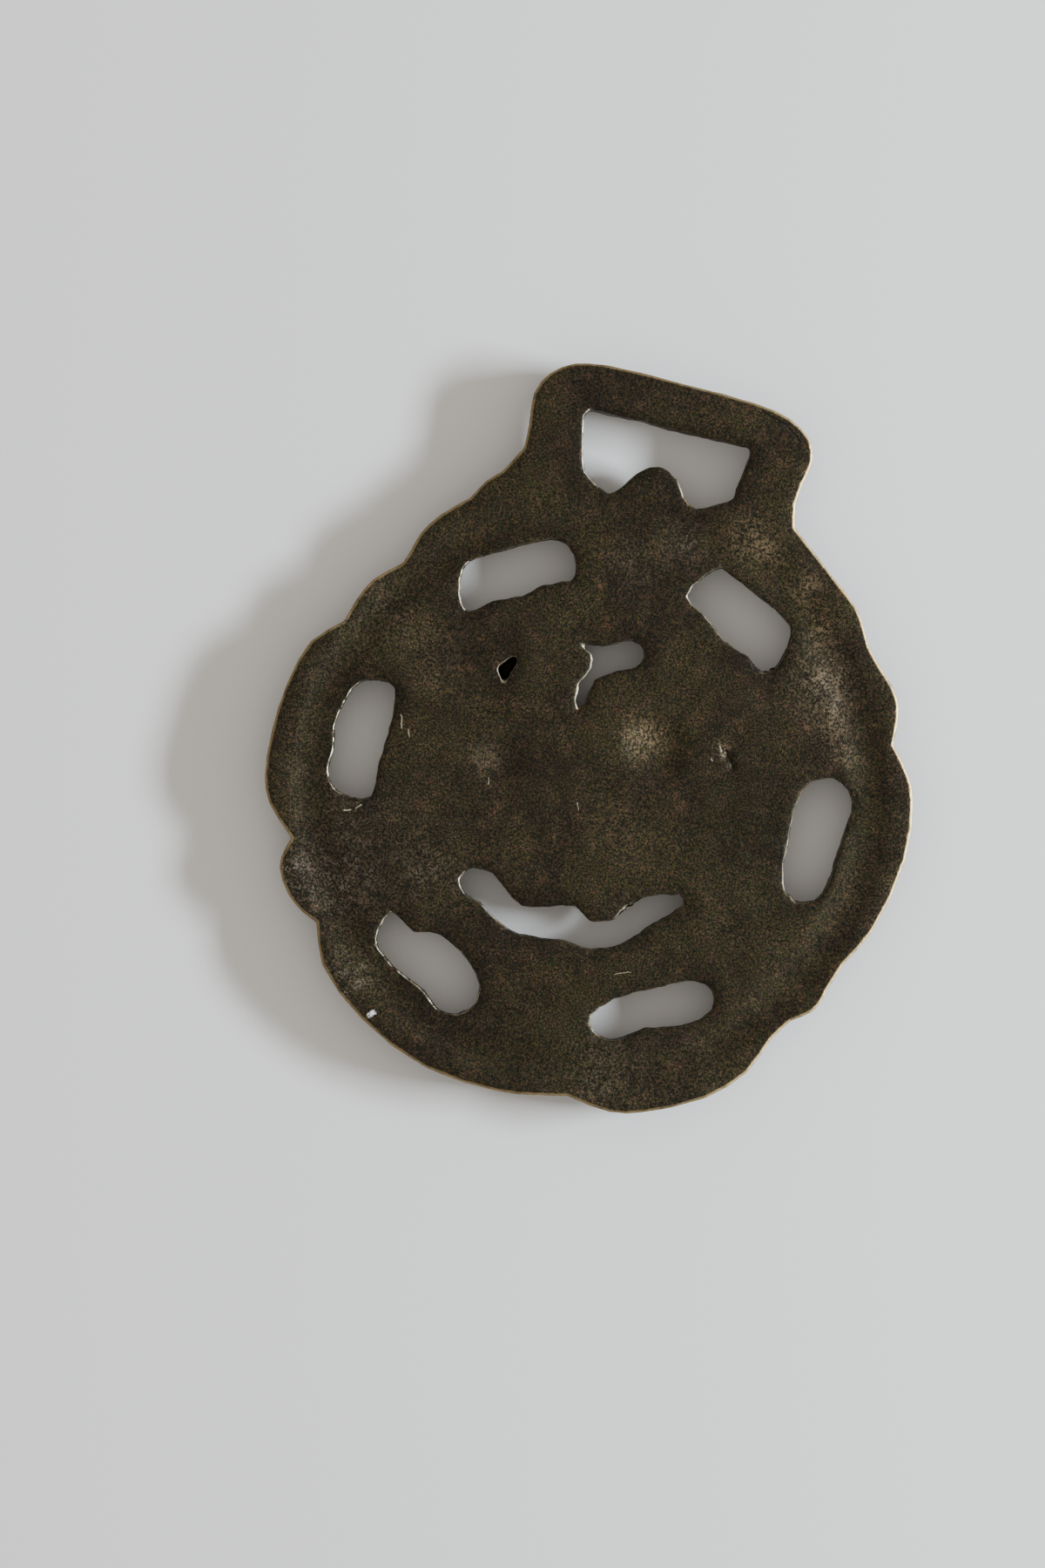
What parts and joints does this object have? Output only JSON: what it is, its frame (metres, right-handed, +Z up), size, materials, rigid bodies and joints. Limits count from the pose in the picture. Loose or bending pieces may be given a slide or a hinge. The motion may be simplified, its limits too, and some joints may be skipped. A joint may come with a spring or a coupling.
{
  "type": "horse brass",
  "caption": "Cast brass harness medallion: scalloped disc with slotted openings and a strap loop, hollowed back, relief on the front.",
  "frame": {"origin": "middle of the footprint, on the surface the brass lies on, front down", "axes": "+Z up out of the hollowed back, +Y towards the strap loop, +X to the right when the back is seen"},
  "size_m": [0.077, 0.0872, 0.0052],
  "materials": {
    "aged_brass": "dark olive-brown patina over sand-cast brass, brassy along worn edges"
  },
  "bodies": {
    "root": {"horse_brass": "aged_brass"}
  },
  "joints": []
}
